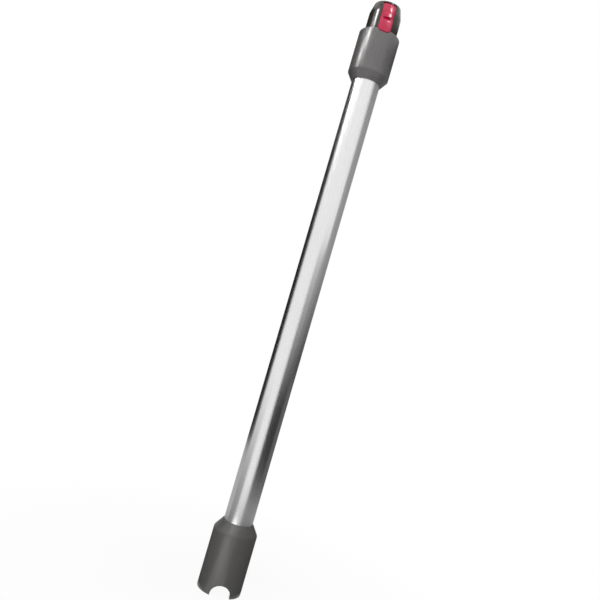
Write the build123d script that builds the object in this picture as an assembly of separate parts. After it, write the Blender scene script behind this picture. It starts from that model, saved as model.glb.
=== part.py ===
from build123d import *

import os
from math import radians, tan

# Quick-release wand of a vacuum cleaner, standing on its lower rim.
# Millimetres, +Z up along the wand. The release catch and the notch face the front, which is -Y.
# A radius at the front of the wand is the same number as -y in the middle plane.

# Tube: drawn aluminium with a web that parts the airway from the wire duct
wand_length = 735.0
tube_diameter = 35.0
tube_wall = 1.0
web_wall = 1.0
tube_end_gap = 0.2

# End mouldings: a D tail inside the tube, held by two snap tongues
tail_fit = 0.15
tail_wall = 1.5
tail_length = 28.0
tongue_width = 7.2
tongue_root = 6.0
slit_width = 0.8
lug_width = 6.0
lug_height = 5.0
lug_flat = 2.0
lug_start = 14.0
lug_clearance = 0.2
lug_recess = 0.1

# Spigot: the male end that plugs into a hose handle or floor tool
spigot_step = 2.5
spigot_reach = 39.0
nose_length = 13.0
nose_taper = 3.5
mouth_chamfer = 0.6
seat_depth = 12.0

# Upper collar: the moulded cover over the spigot's root
collar_wall = 2.4
collar_space = 3.1
collar_cone = 9.5
collar_cover = 49.5
collar_chamfer = 0.8

# Lower cuff: the moulded cover over the socket
cuff_wall = 2.4
cuff_cone = 11.0
cuff_cover = 40.0
rim_chamfer = 0.6

# Both covers: a thin lip on the tube and ribs that centre them
lip_wall = 1.3
rib_wall = 1.6
rib_step = 90.0
cover_fit = 0.1

# Socket liner: the female end, sized for a spigot like the one above
socket_fit = 0.25
rim_gap = 0.5
liner_wall = 3.75
liner_floor = 2.5
notch_width = 24.0
latch_play = 0.7
latch_land = 2.8
latch_window_gap = 1.0

# Release catch: a sprung lever in the spigot's front pocket
catch_width = 16.0
catch_side_gap = 0.3
pocket_depth = 7.3
pocket_rim = 2.0
tip_gap = 0.5
arm_sink = 0.4
nose_sink = 0.7
press_angle = 6.3
stop_gap = 0.2
hook_height = 17.0
hook_width = 9.0
hook_reach = 1.6
hook_flat = 1.0
hook_ramp = 8.0
hook_sink = 0.6
hook_root = 2.0
pad_rise = 4.3
pad_top_rise = 2.0
pad_top_gap = 0.5
pad_fall = 3.0
pad_corner = 5.5
pad_chamfer = 1.0
tip_corner = 2.5
recess_depth = 3.8
recess_side_gap = 0.6
recess_floor_gap = 1.2
recess_corner = 6.0
tab_width = 12.0
tab_drop = 4.9
tab_overlap = 1.2
tab_gap = 0.3
tab_foot_gap = 2.0
spring_room_width = 11.0
spring_room_end = 2.0
roof_rise = 0.8

# Catch pin and spring
pin_diameter = 1.6
pin_fit_catch = 0.05
pin_fit_cheek = 0.02
pin_end_gap = 1.3
pin_wall = 0.85
pivot_below_mouth = 6.5
spring_strip = 0.4
spring_width = 8.0
spring_bend = 0.8
spring_flat = 2.0
spring_curl = 1.2
spring_margin = 1.5
spring_end_gap = 0.05
peg_width = 2.0
peg_height = 0.9
peg_fit = 0.1

# Power contacts and the two wires in the duct
channel_width = 11.2
channel_depth = 4.6
channel_wall = 1.2
block_fit = 0.1
contact_spacing = 5.4
plug_block_below_mouth = 14.0
plug_block_height = 15.0
plug_pin_width = 1.6
plug_pin_below_mouth = 4.0
plug_pin_chamfer = 0.3
solder_tail = 6.0
contact_fit = 0.02
tongue_reach = 8.5
tongue_fit = 0.3
receptacle_above_floor = 8.0
receptacle_flange_height = 2.0
receptacle_flange_width = 12.8
contact_sink = 1.2
contact_wall = 0.46
contact_depth = 11.7
contact_closed_end = 2.0
wire_diameter = 2.2
sleeve_wall = 0.42
sleeve_fit = 0.03
sleeve_end_gap = 0.2

# Radii, from the tube outwards and inwards
tube_r = tube_diameter / 2
tube_inner_r = tube_r - tube_wall
tail_r = tube_inner_r - tail_fit
airway_r = tail_r - tail_wall
spigot_r = tube_r + spigot_step
mouth_r = spigot_r - nose_taper
bore_r = spigot_r + socket_fit
liner_r = bore_r + liner_wall
collar_inner_r = spigot_r + collar_space
collar_r = collar_inner_r + collar_wall
cuff_inner_r = liner_r + cover_fit
cuff_r = cuff_inner_r + cuff_wall
tube_lip_r = tube_r + cover_fit
lip_r = tube_lip_r + lip_wall
spigot_cover_r = spigot_r + cover_fit

# Distances in front of the axis, from the spigot's surface inwards
pocket_floor = spigot_r - pocket_depth
channel_front = pocket_floor - channel_wall
channel_back = channel_front - channel_depth
web_back = channel_back - web_wall
tail_flat = web_back - tail_fit
airway_flat = tail_flat - tail_wall
contact_line = (channel_front + channel_back) / 2
catch_hole_r = pin_diameter / 2 + pin_fit_catch
underside = pocket_floor + stop_gap
pivot_front = underside + pin_wall + catch_hole_r
spring_roof = spigot_r + roof_rise

# Square contacts, from the plug pin outwards
contact_bore = plug_pin_width + 2 * contact_fit
contact_width = contact_bore + 2 * contact_wall

# Heights at the lower end
socket_depth = spigot_reach + rim_gap
socket_taper_z = socket_depth - nose_length
lower_seat = socket_depth + liner_floor
cuff_height = lower_seat + cuff_cover
latch_bottom = hook_height + rim_gap - latch_play
notch_depth = latch_bottom - latch_land

# Heights at the upper end
collar_top = wand_length - spigot_reach
nose_start = wand_length - nose_length
upper_seat = collar_top - seat_depth
collar_bottom = upper_seat - collar_cover
pivot_z = wand_length - pivot_below_mouth
pocket_top = wand_length - pocket_rim
tip_z = pocket_top - tip_gap
hook_z = collar_top + hook_height
recess_z = collar_top - recess_depth
pad_z = recess_z + recess_floor_gap
pad_top_z = collar_top + notch_depth - rim_gap - pad_top_gap
tab_z = pad_z - tab_drop
pocket_z = tab_z - tab_foot_gap
room_z = pad_z + spring_room_end
room_top_z = pad_top_z - spring_room_end
spring_foot_z = room_z + spring_margin
spring_top_z = room_top_z - spring_margin
peg_z = (spring_foot_z + spring_top_z) / 2

# Heights of the contacts and of the joints between their tails and the wires
plug_block_top = wand_length - plug_block_below_mouth
plug_block_z = plug_block_top - plug_block_height
plug_tail_z = plug_block_z - solder_tail
tongue_z = socket_depth - tongue_reach
contact_z = tongue_z + contact_sink
receptacle_top = lower_seat + receptacle_above_floor
contact_tail_z = receptacle_top + solder_tail


def turned(*points):
    """Solid of revolution about Z from (radius, height, chamfer) points."""
    corners = [Vector(radius, height) for radius, height, _ in points]
    outline = []
    for n, corner in enumerate(corners):
        chamfer_size = points[n][2]
        if not chamfer_size:
            outline.append(corner)
            continue
        for neighbour in (corners[n - 1], corners[(n + 1) % len(corners)]):
            outline.append(corner + (neighbour - corner).normalized() * chamfer_size)
    return revolve(Plane.XZ * make_face(Polyline(*outline, close=True)), Axis.Z)


def front_slab(outline, near, far):
    """Prism of an outline drawn in the XZ plane, between two distances in front of the axis."""
    return extrude(Plane.XZ.offset(near) * outline, far - near)


def upright(section, bottom, top):
    """Prism of a plan section between two heights."""
    return Pos(0, 0, bottom) * extrude(section, top - bottom)


def front_block(width, back, front):
    """Plan rectangle centred on the middle plane, between two distances in front of the axis."""
    return Pos(0, -(back + front) / 2) * Rectangle(width, front - back)


def d_section(radius, flat):
    """Circle with its front cut off at a distance in front of the axis."""
    return Circle(radius) - front_block(2 * radius, flat, 2 * radius)


def cross_rod(radius, front, height, length):
    """Round rod along X, centred on the middle plane."""
    return Pos(0, -front, height) * Rot(0, 90, 0) * Cylinder(radius, length)


def contact_bar(width, bottom, top, side):
    """Square bar along Z on one of the two contact lines."""
    place = Pos(side * contact_spacing / 2, -contact_line)
    return upright(place * Rectangle(width, width), bottom, top)


def contact_rod(radius, bottom, top, side):
    """Round rod along Z on one of the two contact lines."""
    place = Pos(side * contact_spacing / 2, -contact_line)
    return upright(place * Circle(radius), bottom, top)


def nose_r(height):
    """Radius of the spigot's tapered nose at a height."""
    return spigot_r - nose_taper * (height - nose_start) / nose_length


def moulding_end():
    """D tail and snap tongues of an end moulding, rising from a seat at height zero."""
    tail = extrude(d_section(tail_r, tail_flat) - d_section(airway_r, airway_flat), tail_length)
    slit_offset = (tongue_width + slit_width) / 2
    slit_length = tail_length - tongue_root
    slits = Pos(0, 0, tongue_root + slit_length / 2) * Box(3 * tail_r, slit_width, slit_length)
    tail -= Pos(0, slit_offset, 0) * slits
    tail -= Pos(0, -slit_offset, 0) * slits
    lug_r = tube_r - lug_recess
    lug_root = tail_r - tail_wall / 2
    profile = Polyline(
        (lug_root, lug_start),
        (lug_r, lug_start),
        (lug_r, lug_start + lug_flat),
        (tail_r, lug_start + lug_height),
        (lug_root, lug_start + lug_height),
        close=True,
    )
    lug = extrude(Plane.XZ * make_face(profile), lug_width / 2, both=True)
    return tail + lug + Rot(0, 0, 180) * lug


def make_tube():
    """Drawn tube with its web and the four windows that the lugs snap into."""
    bottom = lower_seat + tube_end_gap
    top = upper_seat - tube_end_gap
    web = Circle(tube_inner_r + tube_wall / 2) & front_block(2 * tube_r, web_back, channel_back)
    tube = upright(Circle(tube_r) - Circle(tube_inner_r) + web, bottom, top)
    window_height = lug_height + 2 * lug_clearance
    window_middle = lug_start + lug_height / 2
    window = Box(3 * tube_r, lug_width + 2 * lug_clearance, window_height)
    tube -= Pos(0, 0, lower_seat + window_middle) * window
    tube -= Pos(0, 0, upper_seat - window_middle) * window
    return tube


def ribbed_cover(outside, hollow, bores):
    """Moulded cover: an outside, a hollow parted by ribs, and the bores for what it covers."""
    rib_angles = [n * rib_step for n in range(1, round(360 / rib_step))]
    for angle in rib_angles:
        rib = Pos(0, -cuff_r, wand_length / 2) * Box(rib_wall, 2 * cuff_r, 2 * wand_length)
        hollow -= Rot(0, 0, angle) * rib
    return outside - hollow - bores


def make_upper_collar():
    """Upper cover with a flat top, a tapered foot and the recess for the catch's thumb pad."""
    cone_top = collar_bottom + collar_cone
    outside = turned(
        (0, collar_bottom, 0),
        (lip_r, collar_bottom, 0),
        (collar_r, cone_top, 0),
        (collar_r, collar_top, collar_chamfer),
        (0, collar_top, 0),
    )
    hollow = upright(Circle(collar_inner_r), cone_top, collar_top - collar_wall)
    bores = upright(Circle(tube_lip_r), collar_bottom, upper_seat)
    bores += upright(Circle(spigot_cover_r), upper_seat - tube_end_gap, collar_top)
    recess_width = catch_width + 2 * recess_side_gap
    recess_height = 2 * (recess_depth + recess_corner)
    recess = Pos(0, recess_z + recess_height / 2) * RectangleRounded(
        recess_width, recess_height, recess_corner
    )
    return ribbed_cover(outside, hollow, bores) - front_slab(recess, pocket_floor, 2 * collar_r)


def make_notch():
    """Round-ended notch through the front of the lower rim."""
    outline = SlotOverall(2 * notch_depth, notch_width, rotation=90)
    return front_slab(outline, 0, 2 * cuff_r)


def make_lower_cuff():
    """Lower cover with a tapered top, bored for the socket liner, notched at the front of its rim."""
    cone_bottom = cuff_height - cuff_cone
    outside = turned(
        (0, 0, 0),
        (cuff_r, 0, rim_chamfer),
        (cuff_r, cone_bottom, 0),
        (lip_r, cuff_height, 0),
        (0, cuff_height, 0),
    )
    hollow = upright(Circle(cuff_inner_r), lower_seat, cone_bottom)
    bores = upright(Circle(cuff_inner_r), 0, lower_seat + tube_end_gap)
    bores += upright(Circle(tube_lip_r), lower_seat, cuff_height)
    return ribbed_cover(outside, hollow, bores) - make_notch()


def make_socket_liner():
    """Female end: round socket with a tapered seat, latch window, notch and tail in the tube."""
    socket = turned(
        (0, 0, 0),
        (bore_r, 0, 0),
        (bore_r, socket_taper_z, 0),
        (bore_r - nose_taper, socket_depth, 0),
        (0, socket_depth, 0),
    )
    openings = d_section(airway_r, airway_flat)
    openings += front_block(channel_width, channel_back, channel_front)
    latch_width = hook_width + 2 * latch_window_gap
    latch_height = hook_flat + hook_ramp - latch_land + latch_window_gap
    latch = Pos(0, latch_bottom + latch_height / 2) * Rectangle(latch_width, latch_height)
    liner = upright(Circle(liner_r), 0, lower_seat)
    liner -= socket + upright(openings, socket_depth, lower_seat)
    liner -= front_slab(latch, pocket_floor, 2 * liner_r)
    liner -= make_notch()
    return liner + Pos(0, 0, lower_seat) * moulding_end()


def make_spigot():
    """Male end: tapered nose, catch pocket with pin cheeks, contact channel and tail."""
    body = turned(
        (0, upper_seat, 0),
        (spigot_r, upper_seat, 0),
        (spigot_r, nose_start, 0),
        (mouth_r, wand_length, mouth_chamfer),
        (0, wand_length, 0),
    )
    openings = d_section(airway_r, airway_flat)
    openings += front_block(channel_width, channel_back, channel_front)
    body -= upright(openings, upper_seat, wand_length)
    pocket_width = catch_width + 2 * catch_side_gap
    body -= upright(front_block(pocket_width, pocket_floor, 2 * spigot_r), pocket_z, pocket_top)
    body -= cross_rod(pin_diameter / 2 + pin_fit_cheek, pivot_front, pivot_z, 2 * spigot_r)
    peg = Pos(0, peg_z) * Rectangle(peg_width, peg_width)
    body += front_slab(peg, pocket_floor, pocket_floor + peg_height)
    return body + Pos(0, 0, upper_seat) * Rot(0, 180, 0) * moulding_end()


def side_slab(*points, width):
    """Prism of a side outline, given as (distance in front, height) points, across the middle plane."""
    outline = Polyline(*[(-front, height) for front, height in points], close=True)
    return extrude(Plane.YZ * make_face(outline), width / 2, both=True)


def make_release_catch():
    """Lever with a thumb pad, a hook and a pin hole; its underside meets the pocket floor when pressed."""
    arm_r = spigot_r - arm_sink
    front_face = turned(
        (0, pad_z, 0),
        (spigot_r + pad_rise, pad_z, pad_chamfer),
        (spigot_r + pad_top_rise, pad_top_z, 0),
        (arm_r, pad_top_z + pad_fall, 0),
        (arm_r, nose_start, 0),
        (nose_r(tip_z) - nose_sink, tip_z, 0),
        (0, tip_z, 0),
    )
    lever_outline = FilletPolyline(
        (-catch_width / 2, pad_z),
        (catch_width / 2, pad_z),
        (catch_width / 2, tip_z),
        (-catch_width / 2, tip_z),
        radius=[pad_corner, pad_corner, tip_corner, tip_corner],
        close=True,
    )
    underside_low = underside + (pivot_z - pad_z) * tan(radians(press_angle))
    lever = front_face & front_slab(make_face(lever_outline), pocket_floor, 2 * spigot_r)
    lever &= side_slab(
        (underside_low, pad_z),
        (underside, pivot_z),
        (underside, tip_z),
        (2 * spigot_r, tip_z),
        (2 * spigot_r, pad_z),
        width=2 * catch_width,
    )
    hook_front = spigot_r + hook_reach
    ramp_z = hook_z + hook_flat
    hook = side_slab(
        (arm_r - hook_root, hook_z),
        (hook_front, hook_z),
        (hook_front, ramp_z),
        (arm_r - hook_sink, ramp_z + hook_ramp),
        (arm_r - hook_root, ramp_z + hook_ramp),
        width=hook_width,
    )
    tab_front = (collar_inner_r**2 - (tab_width / 2) ** 2) ** 0.5 - tab_gap
    tab = upright(front_block(tab_width, spigot_r - tab_gap, tab_front), tab_z, pad_z + tab_overlap)
    catch = lever + hook + tab
    catch -= upright(front_block(spring_room_width, pocket_floor, spring_roof), room_z, room_top_z)
    return catch - cross_rod(catch_hole_r, pivot_front, pivot_z, 2 * catch_width)


def make_catch_pin():
    """Steel pin through the spigot's cheeks and the catch."""
    cheek_half = (nose_r(pivot_z) ** 2 - pivot_front**2) ** 0.5
    return cross_rod(pin_diameter / 2, pivot_front, pivot_z, 2 * (cheek_half - pin_end_gap))


def make_catch_spring():
    """Leaf spring bent from strip: a foot pegged to the pocket floor and a leg under the pad's roof."""
    foot = pocket_floor + spring_end_gap + spring_strip / 2
    roof = spring_roof - spring_end_gap - spring_strip / 2
    flat_z = spring_foot_z + spring_curl
    path = FilletPolyline(
        (-foot, spring_foot_z),
        (-foot, spring_top_z),
        (-foot - 2 * spring_bend, spring_top_z),
        (-roof, flat_z + spring_flat),
        (-roof, flat_z),
        (-roof + spring_curl, spring_foot_z),
        radius=spring_bend,
    )
    strip = extrude(Plane.YZ * trace(path, spring_strip), spring_width / 2, both=True)
    hole_width = peg_width + 2 * peg_fit
    peg_hole = Pos(0, peg_z) * Rectangle(hole_width, hole_width)
    return strip - front_slab(peg_hole, pocket_floor, pocket_floor + peg_height)


def make_plug_block():
    """Insulating block that holds the two plug pins in the spigot's channel."""
    section = front_block(
        channel_width - 2 * block_fit, channel_back + block_fit, channel_front - block_fit
    )
    block = upright(section, plug_block_z, plug_block_top)
    for side in (-1, 1):
        block -= contact_bar(plug_pin_width + 2 * contact_fit, plug_block_z, plug_block_top, side)
    return block


def make_plug_pin(side):
    """Square brass plug pin with a chamfered tip."""
    pin = contact_bar(plug_pin_width, plug_tail_z, wand_length - plug_pin_below_mouth, side)
    tip_edge = pin.edges().group_by(Axis.Z)[-1]
    return chamfer(tip_edge, plug_pin_chamfer)


def make_receptacle_block():
    """Insulating block on the liner's floor with a tongue that enters a spigot's channel."""
    tongue = front_block(
        channel_width - 2 * tongue_fit, channel_back + tongue_fit, channel_front - tongue_fit
    )
    body = front_block(
        channel_width - 2 * block_fit, channel_back + block_fit, channel_front - block_fit
    )
    flange = front_block(
        receptacle_flange_width, channel_back + block_fit, channel_front - block_fit
    )
    block = upright(tongue, tongue_z, socket_depth)
    block += upright(body, socket_depth, receptacle_top)
    block += upright(flange, lower_seat, lower_seat + receptacle_flange_height)
    for side in (-1, 1):
        block -= contact_bar(contact_width + 2 * contact_fit, tongue_z, receptacle_top, side)
    return block


def make_socket_contact(side):
    """Square tubular socket contact with a closed end and a solder tail."""
    bore_top = contact_z + contact_depth
    closed_top = bore_top + contact_closed_end
    contact = contact_bar(contact_width, contact_z, closed_top, side)
    contact -= contact_bar(contact_bore, contact_z, bore_top, side)
    return contact + contact_bar(plug_pin_width, closed_top, contact_tail_z, side)


def make_wire(side):
    """Insulated wire, straight in the duct from one contact tail to the other."""
    return contact_rod(wire_diameter / 2, contact_tail_z, plug_tail_z, side)


def make_sleeve(side, joint_z):
    """Shrink sleeve over the joint between a wire and a contact's solder tail."""
    grip = solder_tail - sleeve_end_gap
    bore = plug_pin_width / 2**0.5 + sleeve_fit
    sleeve = contact_rod(bore + sleeve_wall, joint_z - grip, joint_z + grip, side)
    return sleeve - contact_rod(bore, joint_z - grip, joint_z + grip, side)


os.makedirs("parts", exist_ok=True)

nodes = {
    "tube": make_tube(),
    "lower_cuff": make_lower_cuff(),
    "socket_liner": make_socket_liner(),
    "receptacle_block": make_receptacle_block(),
    "upper_collar": make_upper_collar(),
    "spigot": make_spigot(),
    "release_catch": make_release_catch(),
    "catch_pin": make_catch_pin(),
    "catch_spring": make_catch_spring(),
    "plug_block": make_plug_block(),
}
for hand, side in (("left", -1), ("right", 1)):
    nodes["socket_contact_" + hand] = make_socket_contact(side)
    nodes["plug_pin_" + hand] = make_plug_pin(side)
    nodes["sleeve_lower_" + hand] = make_sleeve(side, contact_tail_z)
    nodes["sleeve_upper_" + hand] = make_sleeve(side, plug_tail_z)
nodes["wire_positive"] = make_wire(-1)
nodes["wire_negative"] = make_wire(1)

for name, shape in nodes.items():
    export_step(shape, "parts/" + name + ".step")
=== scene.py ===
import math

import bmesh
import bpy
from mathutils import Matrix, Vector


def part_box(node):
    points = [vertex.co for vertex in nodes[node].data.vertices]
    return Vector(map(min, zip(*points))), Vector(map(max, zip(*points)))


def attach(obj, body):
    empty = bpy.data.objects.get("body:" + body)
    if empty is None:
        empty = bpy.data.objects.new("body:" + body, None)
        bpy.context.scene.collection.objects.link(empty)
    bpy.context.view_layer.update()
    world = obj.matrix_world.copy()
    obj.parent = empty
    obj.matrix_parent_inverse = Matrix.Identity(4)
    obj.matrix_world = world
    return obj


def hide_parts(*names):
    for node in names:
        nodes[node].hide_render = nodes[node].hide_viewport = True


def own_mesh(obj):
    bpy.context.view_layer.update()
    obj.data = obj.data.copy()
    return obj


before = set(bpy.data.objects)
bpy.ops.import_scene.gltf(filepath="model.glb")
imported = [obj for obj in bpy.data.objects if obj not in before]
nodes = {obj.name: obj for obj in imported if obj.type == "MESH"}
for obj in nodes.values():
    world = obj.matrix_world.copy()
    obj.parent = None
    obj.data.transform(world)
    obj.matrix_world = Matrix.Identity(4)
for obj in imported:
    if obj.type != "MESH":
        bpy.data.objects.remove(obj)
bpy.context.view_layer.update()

# %% [markdown]
# A quick-release wand of a vacuum cleaner
#
# The wand is a drawn aluminium tube with a moulded end at each side: a socket with a notched grey cuff
# below, and a dark spigot with a crimson release catch above. Every piece is modelled where the solid
# model has it, in metres, with +Z along the wand and the catch at the front, which is -Y. What can be
# seen from outside is modelled again here with softened edges. What is hidden inside keeps its solid
# and gets a finish.

MM = 0.001

# %% [markdown]
# The camera
#
# The wand leans to the right in the picture and is seen almost square on, a little from its left side
# and with its top a little further away. The object stays upright in its own frame, so the lean is a
# roll of the camera. The middle of the wand is put on its pixel in the picture, and the focal length
# in pixels gives the lens on a 36 mm sensor.

# %% Camera
picture_size = 600
focal_pixels = 660.0
sensor_width = 36.0
wand_lean = math.radians(16.26)
wand_turn = math.radians(7.0)
wand_tilt = math.radians(3.0)
camera_distance = 0.8
aim_height = 0.3542
aim_pixel = (302.25, 302.0)

wand_axis = Vector((0, 0, 1))
view_direction = Vector((
    math.sin(wand_turn) * math.cos(wand_tilt),
    math.cos(wand_turn) * math.cos(wand_tilt),
    math.sin(wand_tilt),
))
wand_in_picture = (wand_axis - view_direction * view_direction.z).normalized()
across_wand = view_direction.cross(wand_in_picture)
picture_right = math.cos(wand_lean) * across_wand + math.sin(wand_lean) * wand_in_picture
picture_up = math.cos(wand_lean) * wand_in_picture - math.sin(wand_lean) * across_wand
aim_right = (aim_pixel[0] - picture_size / 2) / focal_pixels
aim_down = (aim_pixel[1] - picture_size / 2) / focal_pixels
aim_ray = view_direction + aim_right * picture_right - aim_down * picture_up

camera = bpy.data.objects.new("camera", bpy.data.cameras.new("camera"))
camera.data.sensor_width = sensor_width
camera.data.lens = focal_pixels * sensor_width / picture_size
camera.matrix_world = Matrix((picture_right, picture_up, -view_direction)).transposed().to_4x4()
camera.location = wand_axis * aim_height - camera_distance * aim_ray
bpy.context.scene.collection.objects.link(camera)
bpy.context.scene.camera = camera
print("camera at", [round(v, 3) for v in camera.location], "lens", round(camera.data.lens, 1))

# %% [markdown]
# Colours and nodes
#
# Colours are written as the eye sees them on a screen and turned to the linear values that the shader
# works in. One small function adds a node: a setting that names a socket fills the socket, any other
# setting is a property of the node, and links join it to what comes before it.


# %% Colour and node helpers
def linear(hex_code):
    """Linear RGBA of an sRGB hex colour."""
    channels = [int(hex_code[n:n + 2], 16) / 255 for n in (1, 3, 5)]
    return [c / 12.92 if c <= 0.04045 else ((c + 0.055) / 1.055) ** 2.4 for c in channels] + [1.0]


def add_node(tree, kind, settings=None, links=None):
    """A new node with its settings, linked to the sockets that feed it."""
    node = tree.nodes.new(kind)
    for name, value in (settings or {}).items():
        if name in node.inputs:
            node.inputs[name].default_value = value
        else:
            setattr(node, name, value)
    for name, source in (links or {}).items():
        tree.links.new(source, node.inputs[name])
    return node


def new_material(name, colour, **settings):
    """A material with its shader's plain values set, its node tree and its shader."""
    material = bpy.data.materials.new(name)
    material.use_nodes = True
    shader = material.node_tree.nodes["Principled BSDF"]
    shader.inputs["Base Color"].default_value = linear(colour)
    for socket, value in settings.items():
        shader.inputs[socket].default_value = value
    return material, material.node_tree, shader


# %% [markdown]
# Bare metals
#
# The tube is drawn through a die, etched to a satin and anodised clear. It reflects its surroundings
# as soft bands along its length, broken by faint lines from the die. The contacts are cut from drawn
# brass bar, the pin is ground and the spring is cut from rolled strip, so each metal has lines in the
# direction of its tool. A noise that is stretched along that direction moves the roughness and a very
# shallow bump. The real lines are about 0.2 mm apart; they are drawn coarser here so that they show.


# %% Lined metals
# Most values of a noise lie between these two, and the gloss swings by this share with it.
noise_low, noise_high = 0.3, 0.7
gloss_swing = 0.15
line_depth = 0.02 * MM
line_strength = 0.05


def lined_metal(name, colour, roughness, line_size):
    """Metal with tool lines: line_size is how far the pattern reaches along X, Y and Z."""
    material, tree, shader = new_material(name, colour, Metallic=1.0, Roughness=roughness)
    place = add_node(tree, "ShaderNodeTexCoord")
    stretch = add_node(
        tree, "ShaderNodeMapping",
        {"Scale": [1 / size for size in line_size]},
        {"Vector": place.outputs["Object"]},
    )
    lines = add_node(
        tree, "ShaderNodeTexNoise",
        {"Scale": 1.0, "Detail": 3.0},
        {"Vector": stretch.outputs["Vector"]},
    )
    sheen = add_node(
        tree, "ShaderNodeMapRange",
        {
            "From Min": noise_low, "From Max": noise_high,
            "To Min": roughness * (1 - gloss_swing), "To Max": roughness * (1 + gloss_swing),
        },
        {"Value": lines.outputs["Fac"]},
    )
    tree.links.new(sheen.outputs["Result"], shader.inputs["Roughness"])
    relief = add_node(
        tree, "ShaderNodeBump",
        {"Strength": line_strength, "Distance": line_depth},
        {"Height": lines.outputs["Fac"]},
    )
    tree.links.new(relief.outputs["Normal"], shader.inputs["Normal"])
    print("material", name)
    return material


# Etched and anodised: a pale satin that blurs what it mirrors into long bands.
aluminium = lined_metal("anodised_aluminium", "#E6E6E6", 0.29, (1.2 * MM, 1.2 * MM, 250 * MM))
# Drawn bar: a warm bright yellow with lines along the contact.
brass = lined_metal("drawn_brass", "#E0BE7A", 0.22, (0.4 * MM, 0.4 * MM, 20 * MM))
# Ground pin: a clean cool grey with rings of fine lines.
ground_steel = lined_metal("ground_steel", "#C8C9CB", 0.25, (0.4 * MM, 20 * MM, 20 * MM))
# Rolled strip: a slightly darker and duller grey.
strip_steel = lined_metal("rolled_spring_steel", "#B9BBBE", 0.3, (0.5 * MM, 20 * MM, 20 * MM))

# %% [markdown]
# Moulded plastics
#
# The covers are moulded in ABS with a fine spark grain, so they are matt and even, with a soft light
# stripe where a softbox shines on them. The spigot and the catch come from a polished mould and
# are glossy. The insulators, the wires' skins and the shrink sleeves are duller. All of them take the
# same pattern at different strengths: a fine grain for the roughness and bump, and a wide cloud that
# shifts the colour by a few percent, as handling does. A real spark grain is about 0.15 mm wide; it is
# drawn coarser here so that it shows.


# %% Moulded plastics
plastic_ior = 1.54
cloud_size = 30 * MM
grain_strength = 0.3


def moulded(name, colour, cloud_colour, roughness, grain, grain_depth):
    """Moulded plastic: an even colour with wide faint clouds and a grain of the given size."""
    material, tree, shader = new_material(name, colour, Roughness=roughness, IOR=plastic_ior)
    place = add_node(tree, "ShaderNodeTexCoord")
    clouds = add_node(
        tree, "ShaderNodeTexNoise",
        {"Scale": 1 / cloud_size, "Detail": 4.0},
        {"Vector": place.outputs["Object"]},
    )
    tint = add_node(
        tree, "ShaderNodeMixRGB",
        {"Color1": linear(colour), "Color2": linear(cloud_colour)},
        {"Fac": clouds.outputs["Fac"]},
    )
    tree.links.new(tint.outputs["Color"], shader.inputs["Base Color"])
    specks = add_node(
        tree, "ShaderNodeTexNoise",
        {"Scale": 1 / grain, "Detail": 2.0},
        {"Vector": place.outputs["Object"]},
    )
    gloss = add_node(
        tree, "ShaderNodeMapRange",
        {
            "From Min": noise_low, "From Max": noise_high,
            "To Min": roughness * (1 - gloss_swing), "To Max": roughness * (1 + gloss_swing),
        },
        {"Value": specks.outputs["Fac"]},
    )
    tree.links.new(gloss.outputs["Result"], shader.inputs["Roughness"])
    relief = add_node(
        tree, "ShaderNodeBump",
        {"Strength": grain_strength, "Distance": grain_depth},
        {"Height": specks.outputs["Fac"]},
    )
    tree.links.new(relief.outputs["Normal"], shader.inputs["Normal"])
    print("material", name)
    return material


# Grained covers: matt and even, with a soft stripe of light and no sharp reflection.
cuff_abs = moulded("grained_abs_dark_grey", "#5C5B59", "#605F5C", 0.36, 0.9 * MM, 0.02 * MM)
collar_abs = moulded("grained_abs_grey", "#6A6868", "#6F6D6C", 0.27, 0.9 * MM, 0.02 * MM)
# The liner comes from a plain mould: dark and a little duller than the covers.
liner_abs = moulded("plain_abs_charcoal", "#3A3A3A", "#404040", 0.45, 0.9 * MM, 0.02 * MM)
# Polished mould: nearly black with crisp bright stripes, and a clear crimson for the catch.
spigot_abs = moulded("polished_abs_charcoal", "#3A362F", "#3D3932", 0.16, 2.5 * MM, 0.006 * MM)
catch_abs = moulded("polished_abs_crimson", "#C61548", "#BE1344", 0.2, 2.5 * MM, 0.006 * MM)
# Hidden plastics: black blocks, rubbery skins on the wires, and a slight shine on the sleeves.
insulator_pbt = moulded("black_pbt", "#242424", "#2A2A2A", 0.45, 0.8 * MM, 0.02 * MM)
red_pvc = moulded("red_pvc_skin", "#A8201C", "#9C1C19", 0.5, 1.5 * MM, 0.02 * MM)
black_pvc = moulded("black_pvc_skin", "#1F1F1F", "#262626", 0.5, 1.5 * MM, 0.02 * MM)
shrink_film = moulded("black_shrink_sleeve", "#1B1B1B", "#222222", 0.38, 1.5 * MM, 0.03 * MM)

# %% [markdown]
# Finishes on the hidden solids
#
# The socket liner, the contact blocks, the contacts, the pin and the wires are simple forms that
# already have their true shape, and they are seen only through the openings. They stay as they are
# and get the finish of their material.

# %% Finishes on the hidden solids
hidden_finishes = {
    "socket_liner": liner_abs,
    "receptacle_block": insulator_pbt,
    "plug_block": insulator_pbt,
    "catch_pin": ground_steel,
    "wire_positive": red_pvc,
    "wire_negative": black_pvc,
}
for hand in ("left", "right"):
    hidden_finishes["socket_contact_" + hand] = brass
    hidden_finishes["plug_pin_" + hand] = brass
    hidden_finishes["sleeve_lower_" + hand] = shrink_film
    hidden_finishes["sleeve_upper_" + hand] = shrink_film
for name, material in hidden_finishes.items():
    nodes[name].data.materials.clear()
    nodes[name].data.materials.append(material)
print("finishes on", len(hidden_finishes), "solids")

# %% [markdown]
# Tools for round and cut pieces
#
# Most of the wand is round, so a piece starts as its profile: a closed loop of (radius, height)
# points that is spun about the wand's axis. Corners that the mould rounds are then bevelled as whole
# rings. Notches, pockets and windows are cut with the Boolean modifier, whose result is put back into
# the piece, so that the finished mesh holds everything and the object stays at the origin. Sizes in
# these cells are in millimetres.

# %% Tools: spun profiles and rounds
SEGMENTS = 128
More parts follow.
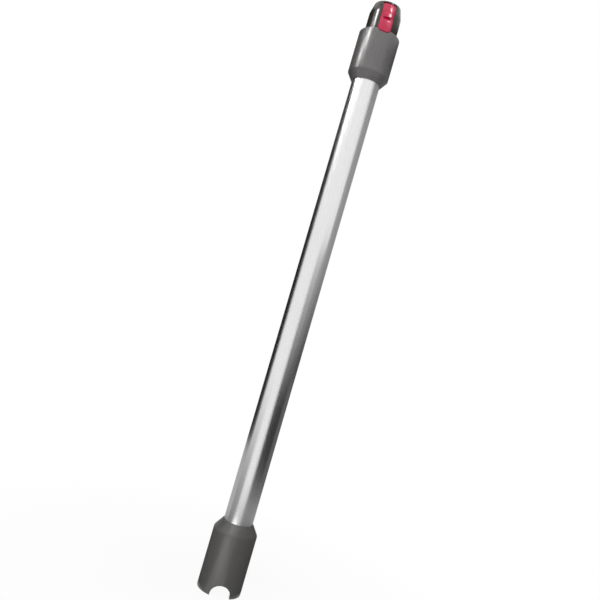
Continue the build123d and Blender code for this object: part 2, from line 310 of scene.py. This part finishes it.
# Points closer than the first are one point, and closer than the second they count as level.
weld = 0.001
level = 0.01
# Cutters reach this far past what they cut.
past = 1.0


def spun(profile, segments=SEGMENTS):
    """A bmesh ring from a closed (radius, height) profile, spun about the wand's axis."""
    bm = bmesh.new()
    points = [bm.verts.new((radius * MM, 0, height * MM)) for radius, height in profile]
    sides = [bm.edges.new((points[n - 1], points[n])) for n in range(len(points))]
    bmesh.ops.spin(
        bm, geom=points + sides, cent=(0, 0, 0), axis=(0, 0, 1),
        angle=math.tau, steps=segments, use_merge=True,
    )
    bmesh.ops.remove_doubles(bm, verts=bm.verts, dist=weld * MM)
    bmesh.ops.recalc_face_normals(bm, faces=bm.faces)
    return bm


def round_edges(bm, edges, width, segments=4):
    """Bevels some edges into a round of the given width."""
    bmesh.ops.bevel(
        bm, geom=edges, offset=width * MM, segments=segments, profile=0.5,
        affect="EDGES", material=-1, clamp_overlap=True,
    )


def sharp_edges(bm):
    """Edges where the surface turns by more than 40 degrees."""
    limit = math.radians(40)
    return [edge for edge in bm.edges if edge.is_manifold and edge.calc_face_angle() > limit]


def round_ring(bm, radius, height, width, segments=4):
    """Rounds the ring edge at a radius and height."""
    def on_ring(vert):
        near_radius = abs(vert.co.xy.length - radius * MM) < level * MM
        return near_radius and abs(vert.co.z - height * MM) < level * MM

    ring = [edge for edge in bm.edges if all(on_ring(vert) for vert in edge.verts)]
    round_edges(bm, ring, width, segments)


# %% Tools: boxes, rods and objects
def block(bm, low, high, turn=0.0):
    """Adds a box between two corners, turned about the wand's axis, and gives its points."""
    size = [(b - a) * MM for a, b in zip(low, high)]
    middle = [(a + b) / 2 * MM for a, b in zip(low, high)]
    place = Matrix.Rotation(turn, 4, "Z") @ Matrix.Translation(middle) @ Matrix.Diagonal(size + [1])
    return bmesh.ops.create_cube(bm, size=1, matrix=place)["verts"]


def rod(bm, radius, middle, length, direction, segments=48):
    """Adds a round rod about its middle, along a direction."""
    turn = Vector(direction).to_track_quat("Z", "Y").to_matrix().to_4x4()
    bmesh.ops.create_cone(
        bm, cap_ends=True, segments=segments, radius1=radius * MM, radius2=radius * MM,
        depth=length * MM, matrix=Matrix.Translation([m * MM for m in middle]) @ turn,
    )


def to_object(name, bm):
    """An object at the origin from a bmesh, which is freed."""
    mesh = bpy.data.meshes.new(name)
    bm.to_mesh(mesh)
    bm.free()
    piece = bpy.data.objects.new(name, mesh)
    bpy.context.scene.collection.objects.link(piece)
    return piece


# %% Tools: cuts, added solids and the finish
crease = math.radians(28)


def carve(piece, bm, operation="DIFFERENCE"):
    """Cuts a piece with the solids of a bmesh, or keeps what they share, and stores the result."""
    cutter = to_object("cutter", bm)
    modifier = piece.modifiers.new("carve", "BOOLEAN")
    modifier.operation = operation
    modifier.object = cutter
    graph = bpy.context.evaluated_depsgraph_get()
    carved = bpy.data.meshes.new_from_object(piece.evaluated_get(graph))
    piece.modifiers.clear()
    piece.data = carved
    bpy.data.objects.remove(cutter)


def add_solids(piece, bm):
    """Adds the solids of a bmesh to a piece's mesh."""
    bm.from_mesh(piece.data)
    bm.to_mesh(piece.data)
    bm.free()


def slice_off(bm, point, direction):
    """Slices off what lies on one side of a plane and closes the cut."""
    cut = bmesh.ops.bisect_plane(
        bm, geom=bm.verts[:] + bm.edges[:] + bm.faces[:],
        plane_co=[p * MM for p in point], plane_no=direction, clear_outer=True,
    )
    rim = [item for item in cut["geom_cut"] if isinstance(item, bmesh.types.BMEdge)]
    bmesh.ops.edgenet_fill(bm, edges=rim)
    bmesh.ops.recalc_face_normals(bm, faces=bm.faces)


def finish_piece(piece, material, body, node):
    """Smooth shading with sharp corners kept, the finish, and the solid that the piece stands for."""
    piece.data.materials.clear()
    piece.data.materials.append(material)
    piece.data.shade_smooth()
    piece.data.set_sharp_from_angle(angle=crease)
    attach(piece, body)
    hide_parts(node)
    print(piece.name, len(piece.data.vertices), "points", len(piece.data.polygons), "faces")


# %% [markdown]
# The tube
#
# The tube is drawn with a flat web inside that parts the airway from a duct for the two wires. Near
# each end it has two windows for the snap lugs of the end mouldings, under the covers. The wall is a
# spun rectangle, the windows are cut out of it, and the web is a flat block that reaches into the wall.

# %% Tube
tube_low, tube_high = [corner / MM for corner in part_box("tube")]
tube_r = tube_high.x
tube_wall = 1.0
web_front = 6.9
web_wall = 1.0
window_width = 6.4
window_height = 5.4
window_from_end = 16.3

tube = to_object("drawn_tube", spun([
    (tube_r - tube_wall, tube_low.z),
    (tube_r, tube_low.z),
    (tube_r, tube_high.z),
    (tube_r - tube_wall, tube_high.z),
]))
windows = bmesh.new()
for middle in (tube_low.z + window_from_end, tube_high.z - window_from_end):
    block(
        windows,
        (-2 * tube_r, -window_width / 2, middle - window_height / 2),
        (2 * tube_r, window_width / 2, middle + window_height / 2),
    )
carve(tube, windows)
web = bmesh.new()
web_half = math.sqrt((tube_r - tube_wall / 2) ** 2 - web_front**2)
block(web, (-web_half, -web_front, tube_low.z), (web_half, web_wall - web_front, tube_high.z))
add_solids(tube, web)
finish_piece(tube, aluminium, "wand", "tube")

# %% [markdown]
# The lower cuff
#
# The cuff is a moulded cover that slides over the socket. Its rim is the foot that the wand stands
# on, and a round-ended notch in the front of the rim leaves room for a thumb. Above, it tapers to a
# thin lip on the tube. The profile is spun, its corners are rounded as the mould does, and the notch
# is cut with a rod and a block. Ribs inside bear on the tube.

# %% Lower cuff
cuff_low, cuff_high = [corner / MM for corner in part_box("lower_cuff")]
cuff_r = cuff_high.x
cover_wall = 2.4
cuff_bore_r = cuff_r - cover_wall
cuff_cone = 11.0
lip_fit = 0.1
lip_wall = 1.3
lip_bore_r = tube_r + lip_fit
lip_r = lip_bore_r + lip_wall
rim_round = 0.7
shoulder_round = 1.2
lip_round = 0.3
notch_half = 12.0
notch_depth = 14.0
rib_wall = 1.6
rib_root = 0.5
rib_turns = [math.radians(turn) for turn in (90, 180, 270)]
cone_z = cuff_high.z - cuff_cone

bm = spun([
    (cuff_bore_r, 0),
    (cuff_r, 0),
    (cuff_r, cone_z),
    (lip_r, cuff_high.z),
    (lip_bore_r, cuff_high.z),
    (lip_bore_r, cone_z),
    (cuff_bore_r, cone_z),
])
round_ring(bm, cuff_r, 0, rim_round)
round_ring(bm, cuff_r, cone_z, shoulder_round)
round_ring(bm, lip_r, cuff_high.z, lip_round)
cuff = to_object("notched_cuff", bm)
notch = bmesh.new()
rod(notch, notch_half, (0, -cuff_r, notch_depth - notch_half), 2 * cuff_r, (0, 1, 0), segments=64)
carve(cuff, notch)
notch = bmesh.new()
block(notch, (-notch_half, -2 * cuff_r, -past), (notch_half, 0, notch_depth - notch_half))
carve(cuff, notch)
ribs = bmesh.new()
for turn in rib_turns:
    block(
        ribs,
        (-rib_wall / 2, -cuff_bore_r - rib_root, tube_low.z),
        (rib_wall / 2, -lip_bore_r, cone_z + rib_root),
        turn,
    )
add_solids(cuff, ribs)
finish_piece(cuff, cuff_abs, "wand", "lower_cuff")

# %% [markdown]
# The upper collar
#
# The collar covers the root of the spigot. It has a flat top with a small round, a straight body and
# a tapered foot with a thin lip on the tube. At the front a U-shaped recess lets the end of the
# catch dip below the top. The recess is a block whose two lower corners are bevelled into arcs.

# %% Upper collar
collar_low, collar_high = [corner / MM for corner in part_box("upper_collar")]
collar_r = collar_high.x
collar_inner_r = collar_r - cover_wall
collar_top = collar_high.z
collar_cone = 9.5
top_plate = 2.4
spigot_bore_r = 20.1
recess_half = 8.6
recess_depth = 3.8
recess_corner = 6.0
top_round = 1.0
taper_round = 0.5
foot_z = collar_low.z + collar_cone

bm = spun([
    (lip_bore_r, collar_low.z),
    (lip_r, collar_low.z),
    (collar_r, foot_z),
    (collar_r, collar_top),
    (spigot_bore_r, collar_top),
    (spigot_bore_r, collar_top - top_plate),
    (collar_inner_r, collar_top - top_plate),
    (collar_inner_r, foot_z),
    (lip_bore_r, foot_z),
])
round_ring(bm, collar_r, collar_top, top_round)
round_ring(bm, collar_r, foot_z, taper_round)
round_ring(bm, lip_r, collar_low.z, lip_round)
collar = to_object("recessed_collar", bm)
recess = bmesh.new()
block(
    recess,
    (-recess_half, -2 * collar_r, collar_top - recess_depth),
    (recess_half, -collar_inner_r / 2, collar_top + 2 * recess_corner),
)
lower_corners = [
    edge for edge in recess.edges
    if all(vert.co.z < collar_top * MM for vert in edge.verts)
    and abs(edge.verts[0].co.x - edge.verts[1].co.x) < level * MM
]
round_edges(recess, lower_corners, recess_corner, segments=12)
carve(collar, recess)
ribs = bmesh.new()
for turn in rib_turns:
    block(
        ribs,
        (-rib_wall / 2, -collar_inner_r - rib_root, foot_z - rib_root),
        (rib_wall / 2, -lip_bore_r, tube_high.z),
        turn,
    )
    block(
        ribs,
        (-rib_wall / 2, -collar_inner_r - rib_root, tube_high.z),
        (rib_wall / 2, -spigot_bore_r, collar_top - top_plate + rib_root),
        turn,
    )
add_solids(collar, ribs)
finish_piece(collar, collar_abs, "wand", "upper_collar")

# %% [markdown]
# The spigot
#
# The spigot is the male end that plugs into a handle or hose. It is a thick moulding with a tapered
# nose, a D-shaped airway behind, a channel for the contacts in the middle and an open pocket in front
# for the catch. Below its seat a D-shaped tail with two snap tongues goes into the tube. A solid is
# spun first and everything else is cut out of it, the way cores pull out of the mould.

# %% Spigot
spigot_low, spigot_high = [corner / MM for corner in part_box("spigot")]
spigot_r = spigot_high.x
spigot_top = spigot_high.z
seat_gap = 0.2
spigot_root = tube_high.z + seat_gap
nose_length = 13.0
nose_taper = 3.5
nose_z = spigot_top - nose_length
nose_round = 1.5
mouth_round = 0.7
airway_r = 14.85
airway_flat = 4.25
channel_half = 5.6
channel_front = 11.5
channel_back = 6.9
pocket_half = 8.3
pocket_floor = 12.7
pocket_depth = 9.5
pocket_low = collar_top - pocket_depth
nose_bridge = 2.0
pocket_top = spigot_top - nose_bridge
pin_front = 14.6
pin_from_top = 6.5
pin_z = spigot_top - pin_from_top
pin_hole_r = 0.82


def d_bar(radius, flat, low, high):
    """An upright round bar with its front sliced flat."""
    bm = bmesh.new()
    rod(bm, radius, (0, 0, (low + high) / 2), high - low, (0, 0, 1), segments=SEGMENTS)
    slice_off(bm, (0, -flat, 0), (0, -1, 0))
    return bm


bm = spun([
    (0, spigot_root),
    (spigot_r, spigot_root),
    (spigot_r, nose_z),
    (spigot_r - nose_taper, spigot_top),
    (0, spigot_top),
])
round_ring(bm, spigot_r, nose_z, nose_round)
round_ring(bm, spigot_r - nose_taper, spigot_top, mouth_round)
spigot = to_object("moulded_spigot", bm)
carve(spigot, d_bar(airway_r, airway_flat, spigot_root - past, spigot_top + past))
hollows = bmesh.new()
block(
    hollows,
    (-channel_half, -channel_front, spigot_root - past),
    (channel_half, -channel_back, spigot_top + past),
)
block(hollows, (-pocket_half, -2 * spigot_r, pocket_low), (pocket_half, -pocket_floor, pocket_top))
carve(spigot, hollows)
pin_hole = bmesh.new()
rod(pin_hole, pin_hole_r, (0, -pin_front, pin_z), 3 * spigot_r, (1, 0, 0), segments=32)
carve(spigot, pin_hole)

# %% Spigot's tail, snap lugs and spring peg
tail_r = 16.35
tail_flat = 5.75
slit_from_middle = 3.6
slit_wall = 0.8
slit_from_root = 6.0
slit_top = spigot_root - slit_from_root
lug_half = 3.0
lug_r = 17.4
lug_from_root = 14.0
lug_top = spigot_root - lug_from_root
lug_height = 5.0
lug_root_r = 15.6
peg_half = 1.0
peg_over_collar = 5.2
peg_z = collar_top + peg_over_collar
peg_height = 0.9
peg_root = 0.3

tail = to_object("tail", d_bar(tail_r, tail_flat, spigot_low.z, spigot_root))
carve(tail, d_bar(airway_r, airway_flat, spigot_low.z - past, spigot_root + past))
slits = bmesh.new()
for near in (slit_from_middle, -slit_from_middle - slit_wall):
    block(slits, (-2 * tail_r, near, spigot_low.z - past), (2 * tail_r, near + slit_wall, slit_top))
carve(tail, slits)
extras = bmesh.new()
extras.from_mesh(tail.data)
bpy.data.objects.remove(tail)
for turn in (0, math.pi):
    lug = block(
        extras, (lug_root_r, -lug_half, lug_top - lug_height), (lug_r, lug_half, lug_top), turn
    )
    for vert in lug:
        if vert.co.z < (lug_top - lug_height / 2) * MM and abs(vert.co.x) > tail_r * MM:
            vert.co.x *= tail_r / lug_r
block(
    extras,
    (-peg_half, -pocket_floor - peg_height, peg_z - peg_half),
    (peg_half, peg_root - pocket_floor, peg_z + peg_half),
)
add_solids(spigot, extras)
finish_piece(spigot, spigot_abs, "wand", "spigot")

# %% [markdown]
# The release catch
#
# The catch is a crimson lever that lies in the spigot's pocket and turns on a pin near the nose. Its
# front follows the round of the spigot, rises to a thumb pad at the lower end and carries a hook in
# the middle. The front is a spun solid; what it shares with a prism of the lever's outline is the
# lever. Its underside is sliced at the angle that it is pressed to, so that it then lies flat on the
# pocket's floor, and a room for the spring is cut under the pad. The hook is a slice of a spun ring, so
# its front follows the same round and comes level with the spigot when the catch is pressed.

# %% Release catch: lever and thumb pad
catch_low, catch_high = [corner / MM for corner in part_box("release_catch")]
catch_half = catch_high.x
catch_top = catch_high.z
pad_r = 24.3
pad_dip = 2.6
pad_rise = 13.0
pad_low = collar_top - pad_dip
pad_top = collar_top + pad_rise
pad_top_r = 22.0
pad_fall = 3.0
arm_r = 19.6
tip_r = 16.47
pad_corner = 5.5
tip_corner = 2.5
pad_low_round = 2.2
pad_top_round = 1.6
bend_round = 1.2
tip_round = 0.8
edge_round = 0.45
press_angle = math.radians(6.3)
floor_gap = 0.2
underside = pocket_floor + floor_gap
slice_weld = 0.02

bm = spun([
    (0, pad_low),
    (pad_r, pad_low),
    (pad_top_r, pad_top),
    (arm_r, pad_top + pad_fall),
    (arm_r, nose_z),
    (tip_r, catch_top),
    (0, catch_top),
])
round_ring(bm, pad_r, pad_low, pad_low_round, segments=6)
round_ring(bm, pad_top_r, pad_top, pad_top_round, segments=6)
round_ring(bm, arm_r, pad_top + pad_fall, bend_round)
round_ring(bm, arm_r, nose_z, bend_round)
round_ring(bm, tip_r, catch_top, tip_round)
catch = to_object("crimson_catch", bm)
outline = bmesh.new()
block(outline, (-catch_half, -2 * spigot_r, pad_low), (catch_half, -pocket_floor, catch_top))
for corner, height in ((pad_corner, pad_low), (tip_corner, catch_top)):
    corners = [
        edge for edge in outline.edges
        if all(abs(vert.co.z - height * MM) < level * MM for vert in edge.verts)
        and abs(edge.verts[0].co.x - edge.verts[1].co.x) < level * MM
    ]
    round_edges(outline, corners, corner, segments=10)
carve(catch, outline, "INTERSECT")
bm = bmesh.new()
bm.from_mesh(catch.data)
slice_off(bm, (0, -underside, pin_z), (0, math.cos(press_angle), -math.sin(press_angle)))
bmesh.ops.remove_doubles(bm, verts=bm.verts, dist=slice_weld * MM)
round_edges(bm, sharp_edges(bm), edge_round, segments=3)
bm.to_mesh(catch.data)
bm.free()

# %% Release catch: spring room, pin hole, hook and tab
room_half = 5.5
room_wall = 2.0
room_low = pad_low + room_wall
room_top = pad_top - room_wall
room_roof = 20.8
hook_half = 4.5
hook_height = 17.0
hook_reach = 1.6
hook_flat = 1.0
hook_ramp = 8.0
hook_sink = 0.6
hook_round = 0.3
hook_z = collar_top + hook_height
hook_ramp_z = hook_z + hook_flat
hook_end_z = hook_ramp_z + hook_ramp
hook_front = spigot_r + hook_reach
hook_end = arm_r - hook_sink
hook_root = arm_r - 2.0
tab_half = 6.0
tab_back = 19.7
tab_front = 22.0
tab_overlap = 1.2
tab_top = pad_low + tab_overlap
catch_hole_r = 0.85

hollows = bmesh.new()
block(hollows, (-room_half, -room_roof, room_low), (room_half, -pocket_floor / 2, room_top))
rod(hollows, catch_hole_r, (0, -pin_front, pin_z), 4 * catch_half, (1, 0, 0), segments=32)
carve(catch, hollows)
hook = to_object("hook", spun([
    (hook_root, hook_z),
    (hook_front, hook_z),
    (hook_front, hook_ramp_z),
    (hook_end, hook_end_z),
    (hook_root, hook_end_z),
]))
flanks = bmesh.new()
block(flanks, (-hook_half, -2 * spigot_r, hook_z - past), (hook_half, 0, hook_end_z + past))
carve(hook, flanks, "INTERSECT")
extras = bmesh.new()
extras.from_mesh(hook.data)
bpy.data.objects.remove(hook)
round_edges(extras, sharp_edges(extras), hook_round, segments=3)
block(extras, (-tab_half, -tab_front, catch_low.z), (tab_half, -tab_back, tab_top))
add_solids(catch, extras)
finish_piece(catch, catch_abs, "catch", "release_catch")

# %% [markdown]
# The spring
#
# The leaf spring under the pad is squeezed towards the pocket's floor as the catch is pressed. Its
# form is simple and right already, so a copy of the solid's mesh, with its doubles merged, stands for
# it.

bm = bmesh.new()
bm.from_mesh(nodes["catch_spring"].data)
bmesh.ops.remove_doubles(bm, verts=bm.verts, dist=weld * MM)
spring = to_object("leaf_spring", bm)
finish_piece(spring, strip_steel, "wand", "catch_spring")
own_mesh(spring)

# %% [markdown]
# White surroundings
#
# The picture is a product shot on pure white. The world is plain white to the camera and in
# reflections, and dim as a light, so that the background doesn't flood the object. The floor is pale
# paper that is burnt out to the same white a little way from the foot. Close to the foot a small
# share of plain paper is left, which keeps the wand's faint shadow.


# %% World and floor
def seen_directly(tree):
    """Socket that is 1 for rays that show the surroundings and 0 for rays that only light the object."""
    rays = add_node(tree, "ShaderNodeLightPath")
    shown = rays.outputs["Is Camera Ray"]
    for kind in ("Is Glossy Ray", "Is Transmission Ray"):
        either = add_node(
            tree, "ShaderNodeMath", {"operation": "MAXIMUM"}, {0: shown, 1: rays.outputs[kind]}
        )
        shown = either.outputs["Value"]
    return shown


world_light = 0.22
floor_size = 6.0
floor_white = 0.94
floor_near = 0.08
floor_far = 0.4
floor_drop = 0.02

world = bpy.data.worlds.new("white_studio")
bpy.context.scene.world = world
world.use_nodes = True
tree = world.node_tree
strength = add_node(
    tree, "ShaderNodeMapRange",
    {"To Min": world_light, "To Max": 1.0},
    {"Value": seen_directly(tree)},
)
background = tree.nodes["Background"]
background.inputs["Color"].default_value = linear("#FFFFFF")
tree.links.new(strength.outputs["Result"], background.inputs["Strength"])

bm = bmesh.new()
bmesh.ops.create_grid(bm, x_segments=1, y_segments=1, size=floor_size / 2)
bmesh.ops.translate(bm, verts=bm.verts, vec=(0, 0, -floor_drop * MM))
floor = to_object("floor", bm)
# Pale paper: dull and even, so it takes the wand's shadow and no shine.
floor_paper, tree, paper = new_material("pale_paper", "#DADADA", Roughness=0.9)
place = add_node(tree, "ShaderNodeTexCoord")
reach = add_node(
    tree, "ShaderNodeVectorMath", {"operation": "LENGTH"}, {0: place.outputs["Object"]}
)
burnt_out = add_node(
    tree, "ShaderNodeMapRange",
    {"From Min": floor_near, "From Max": floor_far, "To Min": floor_white, "To Max": 1.0},
    {"Value": reach.outputs["Value"]},
)
share = add_node(
    tree, "ShaderNodeMath", {"operation": "MULTIPLY"},
    {0: burnt_out.outputs["Result"], 1: seen_directly(tree)},
)
glow = add_node(tree, "ShaderNodeEmission", {"Color": linear("#FFFFFF"), "Strength": 1.0})
mixed = add_node(
    tree, "ShaderNodeMixShader", None,
    {0: share.outputs["Value"], 1: paper.outputs["BSDF"], 2: glow.outputs["Emission"]},
)
tree.links.new(mixed.outputs["Shader"], tree.nodes["Material Output"].inputs["Surface"])
floor.data.materials.append(floor_paper)
print("world and floor")

# %% [markdown]
# Lamps
#
# Two large panels, one high and one behind the camera, light the object softly from the front. They
# are left out of reflections, where the white world already stands for them. Four softboxes with a
# grid, which keeps the light of each on one piece, are there for reflections only: two at the left
# draw the bright stripe along the collar and along the spigot, one high at the right glints on the
# ramp of the catch's hook, and a wide one lifts the cone of the cuff.


# %% Lamps
def around_wand(angle, distance, height):
    """A place round the wand: the angle is from the camera's side, positive to the right."""
    to_camera = Vector((-view_direction.x, -view_direction.y, 0)).normalized()
    to_right = Vector((across_wand.x, across_wand.y, 0)).normalized()
    turn = math.radians(angle)
    return (math.cos(turn) * to_camera + math.sin(turn) * to_right) * distance + Vector((0, 0, height))


def softbox(name, place, facing_height, width, tall, power, spread=180):
    """A rectangular area light that faces the wand's axis at a height."""
    lamp = bpy.data.lights.new(name, "AREA")
    lamp.shape = "RECTANGLE"
    lamp.size = width
    lamp.size_y = tall
    lamp.energy = power
    lamp.spread = math.radians(spread)
    light = bpy.data.objects.new(name, lamp)
    light.location = place
    facing = Vector((0, 0, facing_height)) - place
    light.rotation_euler = facing.to_track_quat("-Z", "Y").to_euler()
    bpy.context.scene.collection.objects.link(light)
    print(name, power, "W")
    return light


# Degrees that a grid lets through, and the heights that the small softboxes face.
grid = 16
collar_middle = 0.67
spigot_middle = 0.72
cone_middle = 0.08

for panel in (
    softbox("high_panel", around_wand(-8, 1.1, 2.6), aim_height, width=1.2, tall=1.2, power=27.0),
    softbox("front_panel", around_wand(-12, 2.0, 0.9), aim_height, width=1.6, tall=1.6, power=14.0),
):
    panel.visible_glossy = False
for glint in (
    softbox(
        "collar_softbox", around_wand(-81, 1.1, 1.14), collar_middle,
        width=0.2, tall=0.14, power=0.034, spread=grid,
    ),
    softbox(
        "spigot_softbox", around_wand(-66, 1.1, 1.42), spigot_middle,
        width=0.22, tall=0.28, power=0.09, spread=grid,
    ),
    softbox(
        "hook_softbox", around_wand(40, 0.9, 1.95), spigot_middle,
        width=0.3, tall=0.3, power=0.1, spread=grid,
    ),
    softbox(
        "cone_softbox", around_wand(-28, 1.0, 1.4), cone_middle,
        width=0.7, tall=0.6, power=0.115, spread=grid,
    ),
):
    glint.visible_diffuse = False

# %% [markdown]
# Dark and glowing cards
#
# Satin metal shows what stands around it, and a white tube on white needs something dark to mirror.
# As in a product studio, curved cards stand round the wand, hidden from the camera. Those behind
# draw the dark edges, those at the right make the dark band that fades up the tube, and the low ones
# dim the foot of the tube and the sides of the cuff. Most have a painted glow, dark below and paler
# above, which stands for the light that a high lamp would put on a card. One narrow card in front
# glows brightly instead, a painted highlight that draws the soft stripe on the cuff. They are only
# there for reflections: they throw no shadow.


# %% Dark cards
def card(name, angles, distances, heights, glow_strengths, fade):
    """A curved card between two angles, whose painted glow goes from one strength to another over a
    stretch of height.

    The distances are those of its lower and upper edge from the wand's axis, in metres.
    """
    bm = bmesh.new()
    low = bm.verts.new(around_wand(angles[0], distances[0], heights[0]))
    high = bm.verts.new(around_wand(angles[0], distances[1], heights[1]))
    bmesh.ops.spin(
        bm, geom=[low, high, bm.edges.new((low, high))], cent=(0, 0, 0), axis=(0, 0, 1),
        angle=math.radians(angles[1] - angles[0]), steps=24,
    )
    piece = to_object(name, bm)
    # Black felt: it soaks up light, and its glow stands for what a lamp would put on it.
    felt, tree, shader = new_material(name + "_felt", "#000000", Roughness=1.0)
    shader.inputs["Emission Color"].default_value = linear("#FFFFFF")
    place = add_node(tree, "ShaderNodeTexCoord")
    height = add_node(tree, "ShaderNodeSeparateXYZ", None, {"Vector": place.outputs["Object"]})
    # Painted glow: the emission changes with height and stands for lamp light on the card.
    glow_strength = add_node(
        tree, "ShaderNodeMapRange",
        {"From Min": fade[0], "From Max": fade[1], "To Min": glow_strengths[0], "To Max": glow_strengths[1]},
        {"Value": height.outputs["Z"]},
    )
    tree.links.new(glow_strength.outputs["Result"], shader.inputs["Emission Strength"])
    piece.data.materials.append(felt)
    piece.visible_camera = False
    piece.visible_diffuse = False
    piece.visible_shadow = False
    piece.visible_transmission = False
    print(name, angles)


# Distances of the cards: the cuff's own ones lean outwards. An even card has the same painted glow all
# over.
far = (0.6, 0.6)
near = (0.22, 0.22)
close = (0.1, 0.1)
flared = (0.03, 0.09)
even = (0.0, 1.0)

card("card_behind_left", (-180, -90), far, (0.0, 1.2), (0.0, 0.0), even)
card("card_behind_right", (70, 180), far, (0.0, 0.89), (0.05, 0.33), (0.25, 0.5))
card("card_top_right", (58, 180), far, (0.89, 1.02), (0.0, 0.0), even)
card("card_right", (18, 58), near, (0.09, 0.45), (0.02, 0.62), (0.2, 0.45))
card("card_right_edge", (58, 92), near, (0.09, 0.45), (0.02, 0.4), (0.2, 0.45))
card("card_right_foot", (18, 180), near, (0.0, 0.09), (0.38, 0.09), (0.03, 0.085))
card("card_behind_foot", (92, 180), near, (0.09, 0.25), (0.12, 0.12), even)
card("card_left_foot", (-88, -38), near, (0.0, 0.3), (0.26, 1.0), (0.06, 0.24))
card("card_left_low", (-180, -88), near, (0.0, 0.14), (0.48, 0.48), even)
card("card_front_low", (-38, 18), near, (0.0, 0.05), (0.4, 0.4), even)
card("card_cuff_left", (-180, -44), flared, (0.0, 0.06), (0.08, 0.08), even)
card("card_cuff_right", (12, 180), flared, (0.0, 0.06), (0.08, 0.08), even)
# Painted highlight: this card glows twice as bright as the white world and draws the stripe on the cuff.
card("card_cuff_stripe", (-40, -6), close, (0.0, 0.06), (2.0, 2.0), even)

# %% [markdown]
# Output
#
# The view transform is plain, so that white stays white.

# %% Output
bpy.context.scene.view_settings.view_transform = "Standard"
